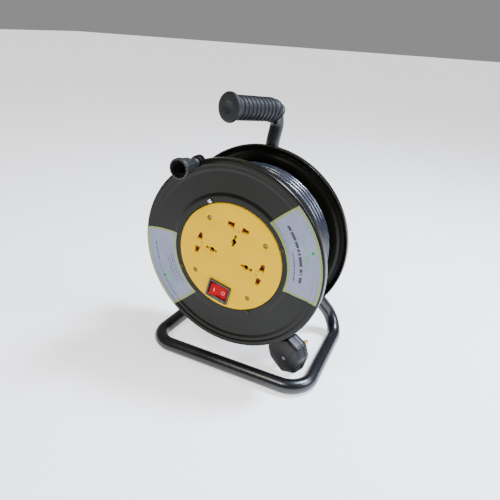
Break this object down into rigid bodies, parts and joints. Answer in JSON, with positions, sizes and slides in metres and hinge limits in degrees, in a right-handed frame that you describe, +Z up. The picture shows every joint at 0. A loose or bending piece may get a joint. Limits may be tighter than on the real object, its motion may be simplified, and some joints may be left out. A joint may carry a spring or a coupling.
{
  "type": "extension cord reel",
  "caption": "Hand-wound extension cord reel: a drum with a panel of shuttered sockets and a rocker switch turns on a bent tube stand with a carrying grip.",
  "frame": {"origin": "middle of the footprint, on the floor that the base tube stands on, without the cord and its plug", "axes": "+Z up, the drum turns about Y, and the sockets face -Y"},
  "size_m": [0.2438, 0.2003, 0.3482],
  "materials": {
    "black_paint": "gloss",
    "black_moulding": "satin",
    "grip_rubber": "matte",
    "knob_plastic": "satin",
    "yellow_plastic": "satin",
    "shutter_plastic": "matte",
    "red_plastic": "gloss",
    "switch_plastic": "satin",
    "carrier_plastic": "matte",
    "chrome": "polished",
    "zinc": "satin",
    "brass": "satin",
    "bush_nylon": "matte",
    "label_film": "satin",
    "cord_pvc": "gloss",
    "plug_plastic": "satin"
  },
  "bodies": {
    "stand": {"base_tube": "black_paint", "handle_tube": "black_paint", "hub_plate": "black_paint", "axle": "zinc", "axle_washer": "zinc", "axle_nut": "zinc", "grip": "grip_rubber", "cord_tail": "cord_pvc", "plug_base": "plug_plastic", "plug_cover": "plug_plastic", "plug_earth_pin": "brass", "plug_live_pin": "brass", "plug_neutral_pin": "brass", "plug_screw": "zinc"},
    "drum": {"bearing_bush": "bush_nylon", "contact_carrier": "carrier_plastic", "cord_bush": "black_moulding", "drum_barrel": "black_moulding", "earth_strip": "brass", "flange_screw_1": "chrome", "flange_screw_2": "chrome", "flange_screw_3": "chrome", "flange_screw_4": "chrome", "front_flange": "black_moulding", "knob_spindle": "zinc", "label_left": "label_film", "label_right": "label_film", "live_strip": "brass", "neutral_strip": "brass", "panel_screw_1": "zinc", "panel_screw_2": "zinc", "panel_screw_3": "zinc", "panel_screw_4": "zinc", "rear_flange": "black_moulding", "socket_panel": "yellow_plastic", "switch_housing": "switch_plastic", "wound_cord": "cord_pvc"},
    "crank_knob": {"crank_knob": "knob_plastic"},
    "switch_rocker": {"switch_rocker": "red_plastic"},
    "shutter_a": {"shutter_a": "shutter_plastic"},
    "shutter_b": {"shutter_b": "shutter_plastic"},
    "shutter_c": {"shutter_c": "shutter_plastic"}
  },
  "joints": [
    {"name": "drum_spin", "type": "hinge", "parent": "stand", "child": "drum", "pos_m": [0, -0.00418, 0.1619], "axis": [0, 1, 0], "continuous": true},
    {"name": "knob_spin", "type": "hinge", "parent": "drum", "child": "crank_knob", "pos_m": [-0.04631, -0.08218, 0.27152], "axis": [0, 1, 0], "continuous": true},
    {"name": "switch_rock", "type": "hinge", "parent": "drum", "child": "switch_rocker", "pos_m": [-0.01262, -0.06078, 0.11311], "axis": [-0.2504, 0, -0.9681], "range_deg": [0, 18]},
    {"name": "shutter_a_slide", "type": "slide", "parent": "drum", "child": "shutter_a", "axis": [-0.2504, 0, -0.9681], "range_m": [0, 0.007], "stiffness_N_per_m": 60, "springref_m": -0.002},
    {"name": "shutter_b_slide", "type": "slide", "parent": "drum", "child": "shutter_b", "axis": [0.9681, 0, -0.2504], "range_m": [0, 0.007], "stiffness_N_per_m": 60, "springref_m": -0.002},
    {"name": "shutter_c_slide", "type": "slide", "parent": "drum", "child": "shutter_c", "axis": [-0.9681, 0, 0.2504], "range_m": [0, 0.007], "stiffness_N_per_m": 60, "springref_m": -0.002}
  ]
}
